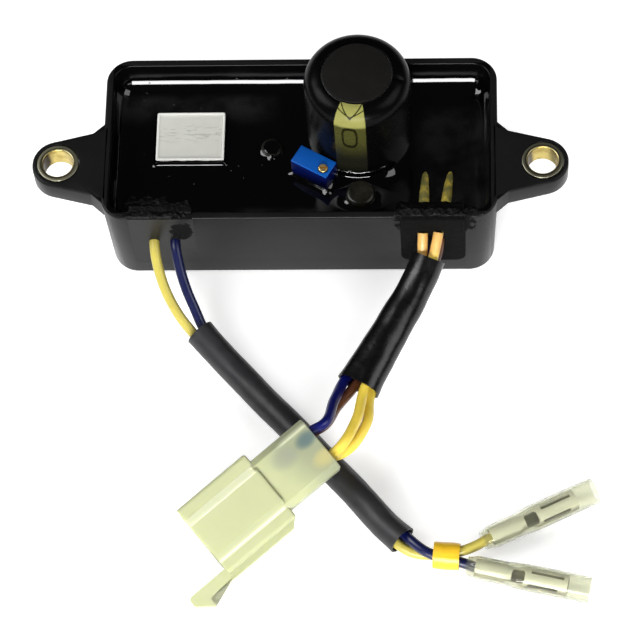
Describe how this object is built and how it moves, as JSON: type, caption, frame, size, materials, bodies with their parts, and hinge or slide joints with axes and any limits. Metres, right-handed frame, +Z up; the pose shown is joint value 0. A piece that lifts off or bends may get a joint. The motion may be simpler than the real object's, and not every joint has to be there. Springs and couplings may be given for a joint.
{
  "type": "automatic voltage regulator",
  "caption": "Potted voltage regulator in a tub with two screw ears, a tall can capacitor, a trimmer and two wire harnesses with bullet sockets and a four-way connector.",
  "frame": {"origin": "middle of the tub's base, on its underside", "axes": "+Z up out of the tub's open side, +X along the two screw ears towards the right one, wires leave towards -Y"},
  "size_m": [0.1303, 0.1314, 0.0453],
  "materials": {
    "tub_plastic": "satin",
    "brass": "machined",
    "plug_rubber": "satin",
    "sealant": "glossy",
    "board": "satin",
    "resin": "glossy",
    "can": "satin",
    "film_black": "glossy",
    "disc_black": "matte",
    "ceramic": "satin",
    "cement": "matte",
    "trimmer_blue": "glossy",
    "epoxy": "satin",
    "film": "glossy",
    "wire_yellow": "satin",
    "wire_blue": "satin",
    "wire_brown": "satin",
    "tube_black": "satin",
    "tape_yellow": "satin",
    "tin": "tin plated",
    "cover_clear": "translucent",
    "nylon": "satin, translucent"
  },
  "bodies": {
    "regulator": {"housing": "tub_plastic", "bushing_left": "brass", "bushing_right": "brass", "wall_plug_left": "plug_rubber", "wall_plug_right": "plug_rubber", "sealant_left": "sealant", "sealant_right": "sealant", "circuit_board": "board", "potting_resin": "resin", "capacitor_can": "can", "capacitor_sleeve": "film_black", "capacitor_end_disc": "disc_black", "resistor_case": "ceramic", "resistor_cement": "cement", "trimmer_body": "trimmer_blue", "small_capacitor_left": "film_black", "small_capacitor_front": "film_black", "bridge_diode_1": "epoxy", "bridge_diode_2": "epoxy", "bridge_diode_3": "epoxy", "bridge_diode_4": "epoxy", "flyback_diode": "epoxy", "divider_resistor_1": "film", "divider_resistor_2": "film", "gate_resistor": "film", "zener_diode": "film", "power_transistor": "epoxy", "wire_left_yellow": "wire_yellow", "wire_left_blue": "wire_blue", "wire_right_yellow_a": "wire_yellow", "wire_right_yellow_b": "wire_yellow", "wire_right_blue": "wire_blue", "wire_right_brown": "wire_brown", "harness_tube_left": "tube_black", "harness_tube_right": "tube_black", "tape_band": "tape_yellow", "socket_upper": "tin", "socket_lower": "tin", "socket_cover_upper": "cover_clear", "socket_cover_lower": "cover_clear", "connector_housing": "nylon", "blade_terminal_1": "tin", "blade_terminal_2": "tin", "blade_terminal_3": "tin", "blade_terminal_4": "tin"},
    "adjuster": {"trimmer_screw": "brass"}
  },
  "joints": [
    {"name": "trimmer_turn", "type": "hinge", "parent": "regulator", "child": "adjuster", "pos_m": [0.00536, -0.00727, 0.0235], "axis": [0, 0, 1], "continuous": true}
  ]
}
